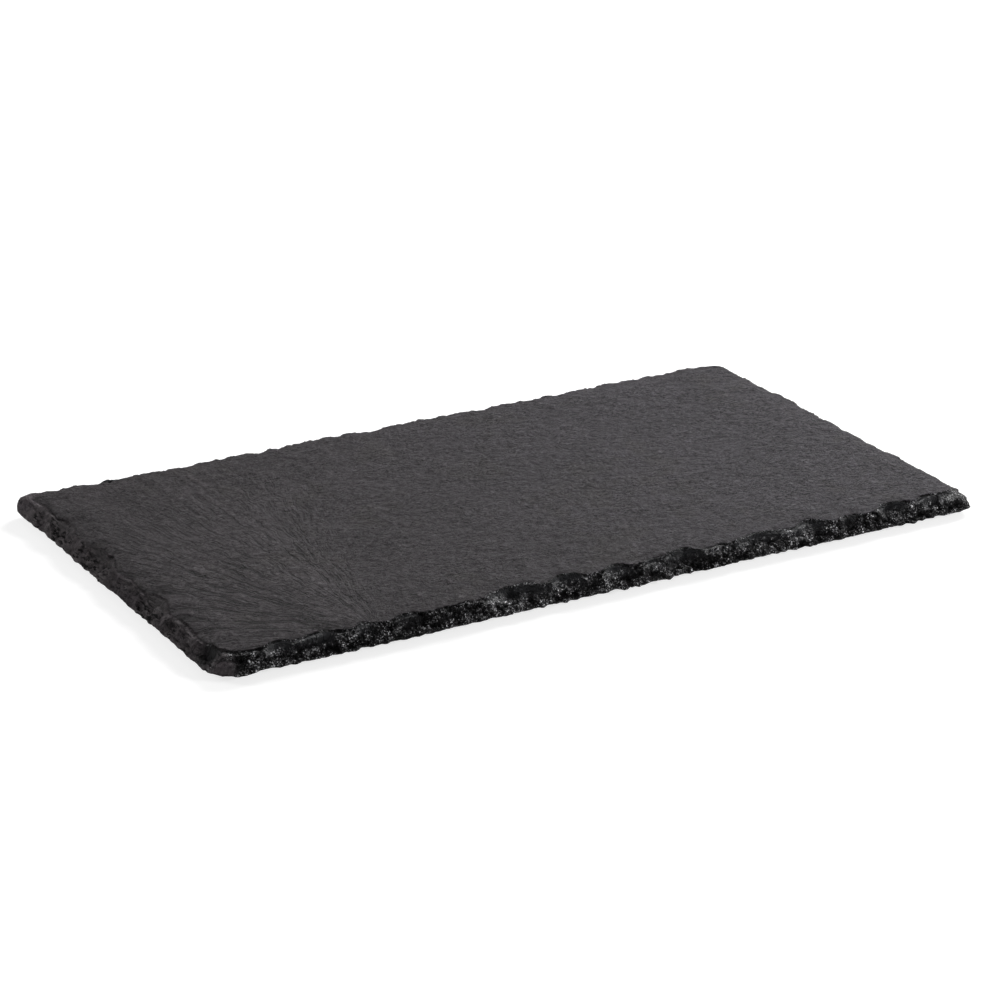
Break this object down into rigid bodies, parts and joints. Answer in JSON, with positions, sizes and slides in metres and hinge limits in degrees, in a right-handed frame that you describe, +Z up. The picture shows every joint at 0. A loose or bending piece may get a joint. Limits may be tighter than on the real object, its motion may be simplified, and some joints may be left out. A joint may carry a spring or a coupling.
{
  "type": "slate serving board",
  "caption": "Rectangular slab of split natural slate with a rough hand-dressed edge, on stick-on rubber feet, for serving food at the table.",
  "frame": {"origin": "on the table, under the middle of the board", "axes": "+X along the board's length, -Y towards the guest, +Z up"},
  "size_m": [0.325, 0.176, 0.0106],
  "materials": {
    "slate": "riven, matte, with dark freshly broken edges",
    "foot_rubber": "moulded, matte",
    "adhesive": "pale translucent adhesive disc"
  },
  "bodies": {
    "root": {"slate_slab": "slate", "foot_front_left": "foot_rubber", "foot_front_right": "foot_rubber", "foot_rear_left": "foot_rubber", "foot_rear_right": "foot_rubber", "adhesive_front_left": "adhesive", "adhesive_front_right": "adhesive", "adhesive_rear_left": "adhesive", "adhesive_rear_right": "adhesive"}
  },
  "joints": []
}
